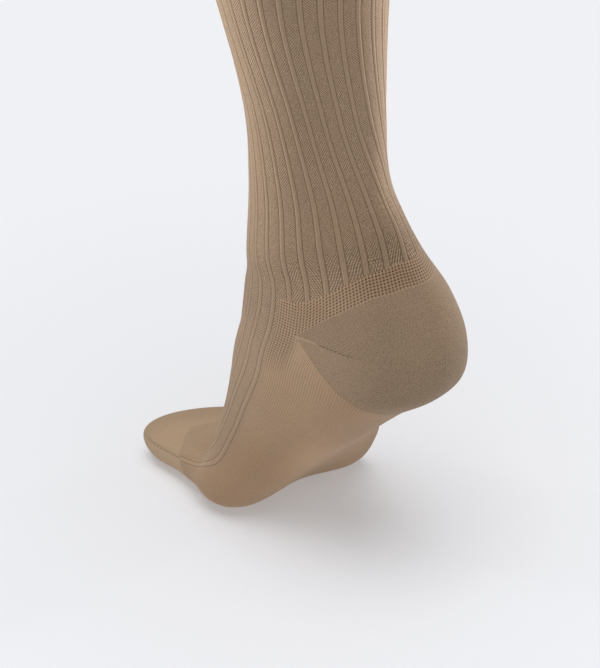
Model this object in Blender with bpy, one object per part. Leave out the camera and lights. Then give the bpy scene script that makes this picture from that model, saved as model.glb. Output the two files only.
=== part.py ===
"""A knee-high compression stocking for a right foot, hollow, as it is worn on tiptoe.

Metres, +Z up. The origin is the centre of the top opening. The toes point to -Y, and +X is the
inner side, towards the other foot. The stocking is knitted in the round from 26 repeats, each a
narrow raised rib and a wide plain panel. A place on it is given by two numbers:
- a station, which counts the rows of SECTIONS from 0 at the top opening down to the toes;
- a rib, from 0 at the middle of the front, over the inner side, to 13 at the middle of the back
  and on to 26, back at the front. Whole numbers are ribs, and halves are the middles of panels.
"""

from collections import namedtuple
import math

import bmesh
import bpy
import numpy as np

# The knit
RIBS = 26
WALL = 0.0014
BAND_WALL = 0.0022
RIB_HEIGHT = 0.0003
GROOVE_DEPTH = 0.0003
GROOVE_FROM_RIB = 0.15
SEAM_GAP = 0.0003
EDGE_ANGLE = 50.0

# The pose, in degrees, and the joints of the foot
FOOT_PITCH = 48.5
LEG_LEAN = 10.0
TOES_OUTWARD = 9.0
ANKLE_FROM_HEEL = 0.050
ANKLE_UP = 0.075
BALL_FROM_HEEL = 0.175

# Each section is measured in one of three frames, as distances forward and up from a point:
# LEG from the ankle joint, along the leg; FOOT from the back of the heel, along the sole;
# TOES from the ball of the foot, along the floor.
LEG, FOOT, TOES = "leg", "foot", "toes"

Section = namedtuple(
    "Section",
    "name frame front front_up back back_up inner outer"
    " widest front_full back_full slant shift cant hollow",
)
# front, front_up, back and back_up place the section's foremost and rearmost points. inner and
# outer are its half widths, and widest is how far from front to back they lie. front_full and
# back_full are the powers of its curve: 2 is an ellipse, and more is squarer. slant turns the
# inner side forward, shift moves it to the inner side, cant raises the inner side of its top, and
# hollow raises the middle of its sole.
SECTIONS = [
    Section("opening", LEG, .046, .330, -.058, .330, .053, .053, .50, 2.0, 2.0, 0, 0, 0, 0),
    Section("band_end", LEG, .047, .295, -.066, .292, .056, .056, .50, 2.0, 2.0, 0, 0, 0, 0),
    Section("calf", LEG, .045, .255, -.069, .250, .057, .056, .50, 2.0, 2.0, 0, 0, 0, 0),
    Section("calf_end", LEG, .040, .195, -.0595, .190, .048, .0465, .50, 2.0, 2.0, 0, 0, 0, 0),
    Section("shin", LEG, .034, .140, -.0465, .136, .037, .0365, .48, 2.0, 2.0, 0, 0, 0, 0),
    Section("ankle_slim", LEG, .030, .092, -.040, .088, .0305, .0295, .45, 2.0, 1.9, 0, 0, 0, 0),
    Section("ankle_low", LEG, .034, .052, -.0365, .050, .030, .0305, .43, 2.0, 1.8, 0, 0, 0, 0),
    Section("ankle", FOOT, .073, .113, -.0025, .072, .033, .0325, .43, 2.0, 1.8, 0, 0, 0, 0),
    Section("heel_top", FOOT, .082, .106, 0, .052, .0325, .032, .45, 2.0, 1.9, 0, .001, 0, 0),
    Section("heel_back", FOOT, .090, .101, 0, .031, .034, .032, .48, 2.0, 2.0, 0, .002, 0, 0),
    Section("heel_low", FOOT, .098, .095, .009, .011, .035, .033, .50, 2.0, 2.2, 0, .003, 0, 0),
    Section("heel_pad", FOOT, .107, .088, .0285, -.002, .0365, .034, .52, 2.0, 2.4, 0, .003, .02, 0),
    Section("heel_end", FOOT, .117, .0815, .056, .0015, .0365, .0365, .52, 2.0, 2.4, .02, .003, .05, 0),
    Section("arch", FOOT, .128, .0705, .090, .0035, .037, .040, .52, 2.1, 2.4, .06, .002, .08, 0),
    Section("instep", FOOT, .140, .059, .123, .003, .0395, .043, .55, 2.1, 2.4, .12, -.001, .12, .002),
    Section("ball_back", FOOT, .155, .0475, .149, -.001, .0435, .046, .58, 2.1, 2.4, .20, -.004, .12, .006),
    Section("ball", FOOT, .171, .0375, .171, -.001, .044, .044, .58, 2.2, 2.5, .28, -.005, .12, .007),
    Section("ball_front", TOES, .034, .0255, .019, .001, .037, .0425, .58, 2.3, 2.7, .34, 0, .14, .004),
    Section("toe_seam", TOES, .045, .021, .036, .002, .0345, .042, .58, 2.4, 2.8, .40, 0, .17, .001),
    Section("toes", TOES, .057, .019, .052, .0015, .034, .039, .58, 2.4, 2.8, .46, 0, .18, 0),
    Section("toe_ends", TOES, .068, .019, .064, .004, .029, .030, .56, 2.2, 2.6, .52, 0, .16, 0),
    Section("toe_caps", TOES, .073, .016, .071, .007, .014, .016, .50, 2.0, 2.0, .52, 0, .09, 0),
    Section("tip", TOES, .073, .012, .073, .011, .001, .001, .50, 2.0, 2.0, .52, 0, 0, 0),
]

# How the ribs lie at each section. turn winds them all round and twist at the back alone, both in
# ribs. share is the part of the way from front to back that half of them take.
Lay = namedtuple("Lay", "turn twist share")
LAYS = {
    "opening": Lay(-.4, -.5, .5),
    "band_end": Lay(-.4, -.5, .5),
    "calf": Lay(-.4, -.5, .5),
    "calf_end": Lay(-.4, -.6, .525),
    "shin": Lay(-.65, -.45, .52),
    "ankle_slim": Lay(0, -.5, .515),
    "ankle_low": Lay(.6, .35, .49),
    "ankle": Lay(.35, .7, .495),
    "heel_top": Lay(.15, .35, .5),
    "heel_back": Lay(0, 0, .485),
    "heel_low": Lay(0, 0, .445),
    "heel_pad": Lay(0, 0, .425),
    "heel_end": Lay(0, 0, .485),
    "arch": Lay(0, 0, .525),
    "instep": Lay(0, 0, .565),
    "ball_back": Lay(0, 0, .57),
    "ball": Lay(0, 0, .485),
    "ball_front": Lay(0, 0, .55),
    "toe_seam": Lay(0, 0, .575),
    "toes": Lay(0, 0, .575),
    "toe_ends": Lay(0, 0, .575),
    "toe_caps": Lay(0, 0, .575),
    "tip": Lay(0, 0, .575),
}
ARC_STEPS = 90

# Where the heel pocket starts and ends, as stations, from its point on one side to the middle
# of the back. The mesh band above it starts at mesh_start, where the ribs end.
HeelRow = namedtuple("HeelRow", "rib mesh_start pocket_start pocket_end")
HEEL_ROWS = [
    HeelRow(6.5, 8.62, 9.80, 9.80),
    HeelRow(7.0, 8.50, 9.48, 10.04),
    HeelRow(8.0, 8.25, 9.00, 10.56),
    HeelRow(9.0, 7.97, 8.66, 11.01),
    HeelRow(10.0, 7.79, 8.41, 11.36),
    HeelRow(11.5, 7.72, 8.31, 11.70),
    HeelRow(13.0, 7.78, 8.36, 11.90),
]
HEEL_POINT = HEEL_ROWS[0]
POCKET_BLUNT = 0.12
INSTEP_RIBS = 5

# Where the toe pocket starts, as a station, from the middle of the top round to the sole.
ToeRow = namedtuple("ToeRow", "rib seam")
TOE_ROWS = [
    ToeRow(0.0, 18.50),
    ToeRow(2.0, 18.42),
    ToeRow(3.0, 18.05),
    ToeRow(4.0, 17.58),
    ToeRow(5.0, 17.45),
]
RIB_FADE = 0.25

# The rows of each piece, as stations along its middle. From the station of its bend on, the rows
# lean more and more towards the piece's slanting end. The foot's rows lean both ways.
BAND_ROWS = (0.0, 0.5, 1.0)
LEG_ROWS = (1.0, 1.5, 2.0, 2.5, 3.0, 3.5, 4.0)
ANKLE_ROWS = (4.0, 4.4, 4.8, 5.2, 5.6, 6.0, 6.4, 6.8, 7.2, 7.6, 8.0, 8.4, 8.8, 9.3, 9.8)
FOOT_ROWS = (
    *(9.8, 10.2, 10.7, 11.2, 11.8, 12.4, 13.0, 13.7, 14.4),
    *(15.0, 15.6, 16.2, 16.8, 17.4, 18.0),
)
CAP_ROWS = (18.0, 18.5, 19.0, 19.5, 20.0, 20.5, 21.0, 21.5, 21.9)
POCKET_ROWS = 9
ANKLE_BEND_FROM = 7.0
FOOT_MIDDLE = 14.0
CAP_BEND_TO = 20.0

Finish = namedtuple("Finish", "name colour roughness")
RIBBED = Finish("ribbed_knit", (0.42, 0.31, 0.22), 0.85)
PLAIN = Finish("reinforced_knit", (0.33, 0.25, 0.18), 0.88)
BAND = Finish("band_knit", (0.40, 0.30, 0.21), 0.85)


def turned(forward, up, degrees):
    """A step of a frame that is tipped nose down by some degrees, as (forward, up)."""
    angle = math.radians(degrees)
    return (
        forward * math.cos(angle) + up * math.sin(angle),
        -forward * math.sin(angle) + up * math.cos(angle),
    )


def from_ball(frame, forward, up):
    """A point of one of the three frames, as (forward, up) from the ball of the foot."""
    if frame == TOES:
        return forward, up
    if frame == FOOT:
        return turned(forward - BALL_FROM_HEEL, up, FOOT_PITCH)
    ankle = turned(ANKLE_FROM_HEEL - BALL_FROM_HEEL, ANKLE_UP, FOOT_PITCH)
    step = turned(forward, up, LEG_LEAN)
    return ankle[0] + step[0], ankle[1] + step[1]


def placed(section):
    """The section's numbers, with its front and back points in one frame and its shift whole."""
    front = from_ball(section.frame, section.front, section.front_up)
    back = from_ball(section.frame, section.back, section.back_up)
    shift = section.shift
    if section.frame == TOES:
        shift -= section.front * math.tan(math.radians(TOES_OUTWARD))
    kept = section[6:12] + section[13:]
    return (*front, *back, *kept, shift, *LAYS[section.name])


PLACED = np.array([placed(section) for section in SECTIONS])
OPENING = (PLACED[0, 0:2] + PLACED[0, 2:4]) / 2


def between(table, place):
    """Rows of a table at fractional row numbers, on a smooth curve through its rows."""
    last = len(table) - 1
    place = np.clip(place, 0, last)
    row = np.minimum(place.astype(int), last - 1)
    step = (place - row)[:, None]

    def slope(rows):
        ahead = table[np.minimum(rows + 1, last)]
        behind = table[np.maximum(rows - 1, 0)]
        span = np.minimum(rows + 1, last) - np.maximum(rows - 1, 0)
        return (ahead - behind) / span[:, None]

    start, end = table[row], table[row + 1]
    rise = 3 * step**2 - 2 * step**3
    lead_out = step - 2 * step**2 + step**3
    lead_in = step**3 - step**2
    return start + rise * (end - start) + lead_out * slope(row) + lead_in * slope(row + 1)


def skin(station, rib):
    """Points of the plain outer face, one for each pair of a station and a rib."""
    numbers = between(PLACED, station)
    front, back = numbers[:, 0:2], numbers[:, 2:4]
    columns = numbers[:, 4:, None].transpose(1, 0, 2)
    inner, outer, widest, front_full, back_full, slant, *others = columns
    cant, hollow, shift, turn, twist, share = others
    to_back = (1 - np.cos(2 * math.pi / RIBS * rib[:, None])) / 2
    round_by = np.mod(rib[:, None] + turn + twist * to_back, RIBS)
    on_inner = round_by <= RIBS / 2
    half_width = np.where(on_inner, inner, outer)
    side = np.where(on_inner, 1, -1)

    angle = np.linspace(0, math.pi, ARC_STEPS + 1)[None, :]
    across = np.abs(np.sin(angle))
    along = np.abs(np.cos(angle))
    ahead = angle <= math.pi / 2
    power = 2 / np.where(ahead, front_full, back_full)
    depth = np.where(ahead, widest * (1 - along**power), widest + (1 - widest) * along**power)
    width = across**power

    reach = np.linalg.norm(back - front, axis=1)[:, None]
    length = np.hypot(np.diff(depth, axis=1) * reach, np.diff(width, axis=1) * half_width)
    run = np.concatenate([np.zeros_like(reach), np.cumsum(length, axis=1)], axis=1)
    way = np.where(on_inner, round_by, RIBS - round_by) / (RIBS / 2)
    way = way + 4 * (share - 0.5) * way * (1 - way)
    goal = (way * run[:, -1:])[:, 0]
    depth = np.array([np.interp(*row) for row in zip(goal, run, depth)])[:, None]
    width = np.array([np.interp(*row) for row in zip(goal, run, width)])[:, None]

    sideways = side * half_width * width
    low = np.clip(2 * depth - 1, 0, 1)
    lift = cant * sideways * (1 - depth) + hollow * low * np.cos(math.pi / 2 * width) ** 2
    to_front = (front - back) / reach
    place = front + (back - front) * depth + to_front * lift - OPENING
    return np.stack(
        [(sideways + shift)[:, 0], -(place[:, 0:1] + slant * sideways)[:, 0], place[:, 1]], axis=1
    )


def skin_slopes(station, rib):
    """How the outer face runs, for one station and for one rib."""
    step = 0.01
    down = skin(station + step, rib) - skin(station - step, rib)
    round_it = skin(station, rib + step) - skin(station, rib - step)
    return down / (2 * step), round_it / (2 * step)


def outward(station, rib):
    """Unit normals of the outer face, away from the hollow."""
    down, round_it = skin_slopes(station, rib)
    normal = np.cross(down, round_it)
    return normal / np.linalg.norm(normal, axis=1, keepdims=True)


def listed_line(rows, name, rib):
    """Stations of a line that is listed at some ribs of one side. Past its ends it runs level."""
    from_front = np.abs(np.mod(np.asarray(rib) + RIBS / 2, RIBS) - RIBS / 2)
    return np.interp(from_front, [row.rib for row in rows], [getattr(row, name) for row in rows])


def inset(line, rib, ways):
    """Stations of a piece's edge, half a seam's gap away from a line between two pieces."""
    step = 0.06
    station = line(rib)
    down, round_it = skin_slopes(station, rib)
    tilt = (line(rib + step) - line(rib - step)) / (2 * step)
    rise = tilt * np.linalg.norm(down, axis=1) / np.linalg.norm(round_it, axis=1)
    return station + ways * SEAM_GAP / 2 * np.hypot(1, rise) / np.linalg.norm(down, axis=1)


def level(station):
    """A line that stays at one station all round."""
    return lambda rib: np.full(len(rib), float(station))


def pocket_start(rib):
    return listed_line(HEEL_ROWS, "pocket_start", rib)


def pocket_end(rib):
    return listed_line(HEEL_ROWS, "pocket_end", rib)


def toe_seam(rib):
    return listed_line(TOE_ROWS, "seam", rib)


def relief(station, rib):
    """How far the knit stands out: ribs with a groove on each side, fading into the mesh band."""
    nearest = np.round(rib)
    offset = np.abs(rib - nearest)
    from_front = np.abs(np.mod(nearest + RIBS / 2, RIBS) - RIBS / 2)
    mesh_start = listed_line(HEEL_ROWS, "mesh_start", rib)
    ends = np.where(from_front <= INSTEP_RIBS, toe_seam(rib), mesh_start)
    fade = np.clip((ends - station) / RIB_FADE, 0, 1)
    crest = offset < GROOVE_FROM_RIB / 2
    groove = np.abs(offset - GROOVE_FROM_RIB) < GROOVE_FROM_RIB / 2
    return fade * np.where(crest, RIB_HEIGHT, np.where(groove, -GROOVE_DEPTH, 0))


def outer_columns(first, last):
    """Ribs of the columns of an outer face, from one panel's middle to another's."""
    offsets = (-0.5, -GROOVE_FROM_RIB, 0, GROOVE_FROM_RIB)
    columns = [rib + offset for rib in range(math.ceil(first), math.ceil(last)) for offset in offsets]
    return sorted(columns + heel_points(first, last))


def inner_columns(first, last):
    """Ribs of the columns of an inner face, which is plain and so has fewer."""
    columns = [rib - 0.5 for rib in range(math.ceil(first), math.ceil(last))]
    return sorted(columns + heel_points(first, last))


def heel_points(first, last):
    """Ribs of the two blunt points of the heel pocket."""
    points = (HEEL_POINT.rib + POCKET_BLUNT, RIBS - HEEL_POINT.rib - POCKET_BLUNT)
    return [point for point in points if first < point < last]


def face_grid(rows, columns, stations, depth, knit=None):
    """Rows of points on the stocking, at some depth below its outer face."""
    rib = np.array(columns, float)
    grid = []
    for row in range(rows):
        station = stations(row, rib)
        height = -depth + (knit(station, rib) if knit else 0) * np.ones(len(rib))
        grid.append(skin(station, rib) + outward(station, rib) * height[:, None])
    return grid


def zip_strips(mesh, one, other):
    """Faces between two strips of vertices that lie side by side, each [(place, vertex)]."""
    at_one, at_other = 0, 0
    while at_one < len(one) - 1 or at_other < len(other) - 1:
        next_one = one[at_one + 1][0] if at_one < len(one) - 1 else math.inf
        next_other = other[at_other + 1][0] if at_other < len(other) - 1 else math.inf
        corners = [one[at_one][1], other[at_other][1]]
        if abs(next_one - next_other) < 1e-6:
            corners = [one[at_one][1], one[at_one + 1][1], other[at_other + 1][1], other[at_other][1]]
            at_one, at_other = at_one + 1, at_other + 1
        elif next_one < next_other:
            corners.append(one[at_one + 1][1])
            at_one += 1
        else:
            corners.append(other[at_other + 1][1])
            at_other += 1
        mesh.faces.new(corners)


def wall_solid(name, finish, outer, inner, outer_ribs, inner_ribs, whole_round, closed_end=False):
    """A closed solid from an outer and an inner grid of points, with rims where it is open."""
    mesh = bmesh.new()
    grids = []
    for grid in (outer, inner):
        grids.append([[mesh.verts.new(point) for point in row] for row in grid])
    for grid in grids:
        for upper, lower in zip(grid, grid[1:]):
            places = range(len(upper) if whole_round else len(upper) - 1)
            for place in places:
                beside = (place + 1) % len(upper)
                mesh.faces.new([upper[place], upper[beside], lower[beside], lower[place]])
    rims = [0] if closed_end else [0, -1]
    for row in rims:
        strips = []
        for grid, ribs in zip(grids, (outer_ribs, inner_ribs)):
            strip = list(zip(ribs, grid[row]))
            if whole_round:
                strip.append((ribs[0] + RIBS, grid[row][0]))
            strips.append(strip)
        zip_strips(mesh, *strips)
    if closed_end:
        for grid in grids:
            mesh.faces.new(grid[-1])
    if not whole_round:
        for column in (0, -1):
            strips = [[(row, points[column]) for row, points in enumerate(grid)] for grid in grids]
            zip_strips(mesh, *strips)
    bmesh.ops.triangulate(mesh, faces=mesh.faces[:])
    bmesh.ops.recalc_face_normals(mesh, faces=mesh.faces[:])
    return finished(name, mesh, finish)


def finished(name, mesh, finish):
    """An object of the mesh in the stocking's collection, smooth and with its material."""
    data = bpy.data.meshes.new(name)
    mesh.to_mesh(data)
    mesh.free()
    data.shade_smooth()
    data.set_sharp_from_angle(angle=math.radians(EDGE_ANGLE))
    data.materials.append(material_of(finish))
    piece = bpy.data.objects.new(name, data)
    collection_of("compression_stocking").objects.link(piece)
    return piece


def material_of(finish):
    material = bpy.data.materials.get(finish.name)
    if material is None:
        material = bpy.data.materials.new(finish.name)
        material.use_nodes = True
        shader = material.node_tree.nodes["Principled BSDF"]
        shader.inputs["Base Color"].default_value = (*finish.colour, 1)
        shader.inputs["Roughness"].default_value = finish.roughness
        shader.inputs["Metallic"].default_value = 0
    return material


def collection_of(name):
    collection = bpy.data.collections.get(name)
    if collection is None:
        collection = bpy.data.collections.new(name)
        bpy.context.scene.collection.children.link(collection)
    return collection


def tube(name, finish, rows, start, end, wall=WALL, rise=0, knit=None, bend=lambda row, rib: row):
    """A stretch of the stocking all round, from one line to another. With no end it is closed."""

    def stations(place, rib):
        if place == 0:
            return start(rib)
        if place == len(rows) - 1 and end:
            return end(rib)
        return np.broadcast_to(bend(rows[place], rib), rib.shape)

    outer_ribs = outer_columns(0, RIBS)
    inner_ribs = inner_columns(0, RIBS)
    outer = face_grid(len(rows), outer_ribs, stations, -rise, knit)
    inner = face_grid(len(rows), inner_ribs, stations, wall - rise)
    return wall_solid(name, finish, outer, inner, outer_ribs, inner_ribs, True, closed_end=end is None)


def seam_edge(station, ways):
    """The edge of a piece at a level seam: -1 for the piece above it, and 1 for the one below."""
    return lambda rib: inset(level(station), rib, ways)


def add_top_band():
    """The doubled band, a little thicker than the leg and flush with its inside."""
    rise = BAND_WALL - WALL
    start = level(BAND_ROWS[0])
    end = seam_edge(BAND_ROWS[-1], -1)
    return tube("top_band", BAND, BAND_ROWS, start, end, wall=BAND_WALL, rise=rise)


def add_leg():
    """The ribbed leg over the calf and shin."""
    start, end = seam_edge(LEG_ROWS[0], 1), seam_edge(LEG_ROWS[-1], -1)
    return tube("leg", RIBBED, LEG_ROWS, start, end, knit=relief)


def add_ankle():
    """The leg's slim lower end. Behind, its lowest rows rise over the heel pocket."""
    lowest = ANKLE_ROWS[-1]

    def bend(row, rib):
        share = max(row - ANKLE_BEND_FROM, 0) / (lowest - ANKLE_BEND_FROM)
        return min(row, ANKLE_BEND_FROM) + share * (pocket_start(rib) - ANKLE_BEND_FROM)

    def end(rib):
        return inset(pocket_start, rib, -1)

    start = seam_edge(ANKLE_ROWS[0], 1)
    return tube("ankle", RIBBED, ANKLE_ROWS, start, end, knit=relief, bend=bend)


def add_foot():
    """The foot, from the heel pocket and the instep to the slanting seam of the toe pocket."""
    first, last = FOOT_ROWS[0], FOOT_ROWS[-1]

    def bend(row, rib):
        if row < FOOT_MIDDLE:
            share = (FOOT_MIDDLE - row) / (FOOT_MIDDLE - first)
            return FOOT_MIDDLE + share * (pocket_end(rib) - FOOT_MIDDLE)
        share = (row - FOOT_MIDDLE) / (last - FOOT_MIDDLE)
        return FOOT_MIDDLE + share * (toe_seam(rib) - FOOT_MIDDLE)

    def start(rib):
        return inset(pocket_end, rib, 1)

    def end(rib):
        return inset(toe_seam, rib, -1)

    return tube("foot", RIBBED, FOOT_ROWS, start, end, knit=relief, bend=bend)


def add_toe_pocket():
    """The toe box, closed over the tips of the toes."""

    def bend(row, rib):
        share = max(CAP_BEND_TO - row, 0) / (CAP_BEND_TO - CAP_ROWS[0])
        return max(row, CAP_BEND_TO) - share * (CAP_BEND_TO - toe_seam(rib))

    def start(rib):
        return inset(toe_seam, rib, 1)

    return tube("toe_pocket", PLAIN, CAP_ROWS, start, None, bend=bend)


def add_heel_pocket():
    """The heel, between its two lines, with a blunt point on each side."""
    first = HEEL_POINT.rib + POCKET_BLUNT
    last = RIBS - first
    outer_ribs = [first, *outer_columns(first, last)[1:], last]
    inner_ribs = [first, *inner_columns(first, last)[1:], last]

    def stations(place, rib):
        share = place / (POCKET_ROWS - 1)
        return inset(pocket_start, rib, 1) * (1 - share) + inset(pocket_end, rib, -1) * share

    outer = face_grid(POCKET_ROWS, outer_ribs, stations, 0)
    inner = face_grid(POCKET_ROWS, inner_ribs, stations, WALL)
    return wall_solid("heel_pocket", PLAIN, outer, inner, outer_ribs, inner_ribs, False)


def main():
    for old in list(bpy.data.objects):
        bpy.data.objects.remove(old, do_unlink=True)
    add_top_band()
    add_leg()
    add_ankle()
    add_foot()
    add_heel_pocket()
    add_toe_pocket()


main()
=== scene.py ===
"""Looks for the knee-high compression stocking: fine knit shells, floor, light and camera.

Metres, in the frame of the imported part. A place on the stocking is a station, which counts the
rows of SECTIONS from the top opening to the toes, and a rib, from 0 at the middle of the front,
over the inner side, to 13 at the middle of the back and on to 26. The knit's own courses bend
round the heel pocket and along the toe seam, so a course row becomes a station rib by rib.
"""

from collections import namedtuple
import math

import bpy
import numpy as np
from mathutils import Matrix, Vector


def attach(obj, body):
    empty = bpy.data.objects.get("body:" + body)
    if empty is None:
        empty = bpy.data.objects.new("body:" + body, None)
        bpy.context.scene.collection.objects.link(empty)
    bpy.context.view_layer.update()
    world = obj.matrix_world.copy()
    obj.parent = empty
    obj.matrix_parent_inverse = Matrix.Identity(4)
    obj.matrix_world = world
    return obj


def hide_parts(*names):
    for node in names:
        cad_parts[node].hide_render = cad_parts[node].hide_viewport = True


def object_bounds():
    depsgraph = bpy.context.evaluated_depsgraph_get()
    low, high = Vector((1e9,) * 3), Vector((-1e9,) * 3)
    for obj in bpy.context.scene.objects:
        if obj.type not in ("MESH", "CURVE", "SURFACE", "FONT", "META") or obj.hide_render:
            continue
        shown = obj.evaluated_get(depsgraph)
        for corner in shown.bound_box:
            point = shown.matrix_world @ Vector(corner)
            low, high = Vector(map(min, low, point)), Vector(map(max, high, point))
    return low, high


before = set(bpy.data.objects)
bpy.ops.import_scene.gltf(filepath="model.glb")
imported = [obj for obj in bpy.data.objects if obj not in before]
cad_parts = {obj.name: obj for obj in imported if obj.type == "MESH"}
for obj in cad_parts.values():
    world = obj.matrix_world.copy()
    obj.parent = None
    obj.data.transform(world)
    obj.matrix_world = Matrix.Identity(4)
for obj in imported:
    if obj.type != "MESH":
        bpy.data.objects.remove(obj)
cad_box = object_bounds()

# The knit's sizes, as in the part
RIBS = 26
WALL = 0.0014
BAND_WALL = 0.0022
INSTEP_RIBS = 5

# The pose, in degrees, and the joints of the foot
FOOT_PITCH = 48.5
LEG_LEAN = 10.0
TOES_OUTWARD = 9.0
ANKLE_FROM_HEEL = 0.050
ANKLE_UP = 0.075
BALL_FROM_HEEL = 0.175
LEG, FOOT, TOES = "leg", "foot", "toes"

# Each section goes round the outer face from a front to a back point, both told as ways forward
# and up from the ankle, the heel or the ball. inner and outer are half widths, widest is the share
# of the depth where they are reached, and the two full ones say how square the section is. The
# last four skew it, move it to the inner side, tilt its front and hollow its sole.
Section = namedtuple(
    "Section",
    "name frame front front_up back back_up inner outer"
    " widest front_full back_full slant shift cant hollow",
)
SECTIONS = [Section(*row) for row in (
    ("opening", LEG, .046, .330, -.058, .330, .053, .053, .50, 2.0, 2.0, 0, 0, 0, 0),
    ("band_end", LEG, .047, .295, -.066, .292, .056, .056, .50, 2.0, 2.0, 0, 0, 0, 0),
    ("calf", LEG, .045, .255, -.069, .250, .057, .056, .50, 2.0, 2.0, 0, 0, 0, 0),
    ("calf_end", LEG, .040, .195, -.0595, .190, .048, .0465, .50, 2.0, 2.0, 0, 0, 0, 0),
    ("shin", LEG, .034, .140, -.0465, .136, .037, .0365, .48, 2.0, 2.0, 0, 0, 0, 0),
    ("ankle_slim", LEG, .030, .092, -.040, .088, .0305, .0295, .45, 2.0, 1.9, 0, 0, 0, 0),
    ("ankle_low", LEG, .034, .052, -.0365, .050, .030, .0305, .43, 2.0, 1.8, 0, 0, 0, 0),
    ("ankle", FOOT, .073, .113, -.0025, .072, .033, .0325, .43, 2.0, 1.8, 0, 0, 0, 0),
    ("heel_top", FOOT, .082, .106, 0, .052, .0325, .032, .45, 2.0, 1.9, 0, .001, 0, 0),
    ("heel_back", FOOT, .090, .101, 0, .031, .034, .032, .48, 2.0, 2.0, 0, .002, 0, 0),
    ("heel_low", FOOT, .098, .095, .009, .011, .035, .033, .50, 2.0, 2.2, 0, .003, 0, 0),
    ("heel_pad", FOOT, .107, .088, .0285, -.002, .0365, .034, .52, 2.0, 2.4, 0, .003, .02, 0),
    ("heel_end", FOOT, .117, .0815, .056, .0015, .0365, .0365, .52, 2.0, 2.4, .02, .003, .05, 0),
    ("arch", FOOT, .128, .0705, .090, .0035, .037, .040, .52, 2.1, 2.4, .06, .002, .08, 0),
    ("instep", FOOT, .140, .059, .123, .003, .0395, .043, .55, 2.1, 2.4, .12, -.001, .12, .002),
    ("ball_back", FOOT, .155, .0475, .149, -.001, .0435, .046, .58, 2.1, 2.4, .2, -.004, .12, .006),
    ("ball", FOOT, .171, .0375, .171, -.001, .044, .044, .58, 2.2, 2.5, .28, -.005, .12, .007),
    ("ball_front", TOES, .034, .0255, .019, .001, .037, .0425, .58, 2.3, 2.7, .34, 0, .14, .004),
    ("toe_seam", TOES, .045, .021, .036, .002, .0345, .042, .58, 2.4, 2.8, .40, 0, .17, .001),
    ("toes", TOES, .057, .019, .052, .0015, .034, .039, .58, 2.4, 2.8, .46, 0, .18, 0),
    ("toe_ends", TOES, .068, .019, .064, .004, .029, .030, .56, 2.2, 2.6, .52, 0, .16, 0),
    ("toe_caps", TOES, .073, .016, .071, .007, .014, .016, .50, 2.0, 2.0, .52, 0, .09, 0),
    ("tip", TOES, .073, .012, .073, .011, .001, .001, .50, 2.0, 2.0, .52, 0, 0, 0),
)]

# How the ribs lie: turn winds them all round and twist at the back alone, in ribs, and share is
# the part of the way from front to back that half of them take.
Lay = namedtuple("Lay", "turn twist share")
LAYS = {
    "opening": Lay(-.4, -.5, .5),
    "band_end": Lay(-.4, -.5, .5),
    "calf": Lay(-.4, -.5, .5),
    "calf_end": Lay(-.4, -.6, .525),
    "shin": Lay(-.65, -.45, .52),
    "ankle_slim": Lay(0, -.5, .515),
    "ankle_low": Lay(.6, .35, .49),
    "ankle": Lay(.35, .7, .495),
    "heel_top": Lay(.15, .35, .5),
    "heel_back": Lay(0, 0, .485),
    "heel_low": Lay(0, 0, .445),
    "heel_pad": Lay(0, 0, .425),
    "heel_end": Lay(0, 0, .485),
    "arch": Lay(0, 0, .525),
    "instep": Lay(0, 0, .565),
    "ball_back": Lay(0, 0, .57),
    "ball": Lay(0, 0, .485),
    "ball_front": Lay(0, 0, .55),
    "toe_seam": Lay(0, 0, .575),
    "toes": Lay(0, 0, .575),
    "toe_ends": Lay(0, 0, .575),
    "toe_caps": Lay(0, 0, .575),
    "tip": Lay(0, 0, .575),
}

# Stations where the mesh, the heel pocket and the toe pocket start or end, for ribs from the front
HeelRow = namedtuple("HeelRow", "rib mesh_start pocket_start pocket_end")
HEEL_ROWS = [
    HeelRow(6.5, 8.62, 9.80, 9.80),
    HeelRow(7.0, 8.50, 9.48, 10.04),
    HeelRow(8.0, 8.25, 9.00, 10.56),
    HeelRow(9.0, 7.97, 8.66, 11.01),
    HeelRow(10.0, 7.79, 8.41, 11.36),
    HeelRow(11.5, 7.72, 8.31, 11.70),
    HeelRow(13.0, 7.78, 8.36, 11.90),
]
ToeRow = namedtuple("ToeRow", "rib seam")
TOE_ROWS = [
    ToeRow(0.0, 18.50),
    ToeRow(2.0, 18.42),
    ToeRow(3.0, 18.05),
    ToeRow(4.0, 17.58),
    ToeRow(5.0, 17.45),
]

# Course rows where a piece ends, where courses bend and where they lie level
BAND_ROW, TOE_ROW, TIP_ROW = 1.0, 18.0, 21.96
HEEL_POINT_ROW = 9.8
LEG_BEND_FROM = 7.0
FOOT_MIDDLE = 14.0
CAP_BEND_TO = 20.0

# Where the pockets' corners and gore lines lie, in ribs or as a share of the heel pocket's depth
HEEL_CORNERS = (6.5, 19.5)
GORE_SHARE = 0.55
GORE_RIB = 5.0

# A rib's relief: half widths and places in ribs, heights in metres, and ends in stations
RIDGE_HALF = 0.115
RIDGE_HEIGHT = 0.00017
RIDGE_SQUARENESS = 6
GROOVE_AT = 0.15
GROOVE_HALF = 0.03
GROOVE_DEPTH = 0.00017
RIB_END = 0.07
INSTEP_FADE = (15.2, 16.8)

# The band's stitching and lower edge, in stations, the stitching's depth in metres, and the share
# of its height that the band keeps at the edge
BAND_STITCH = 0.9
STITCH_HALF = 0.02
STITCH_DEPTH = 0.00035
EDGE_ROLL = 0.03
EDGE_RISE = 0.3

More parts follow.
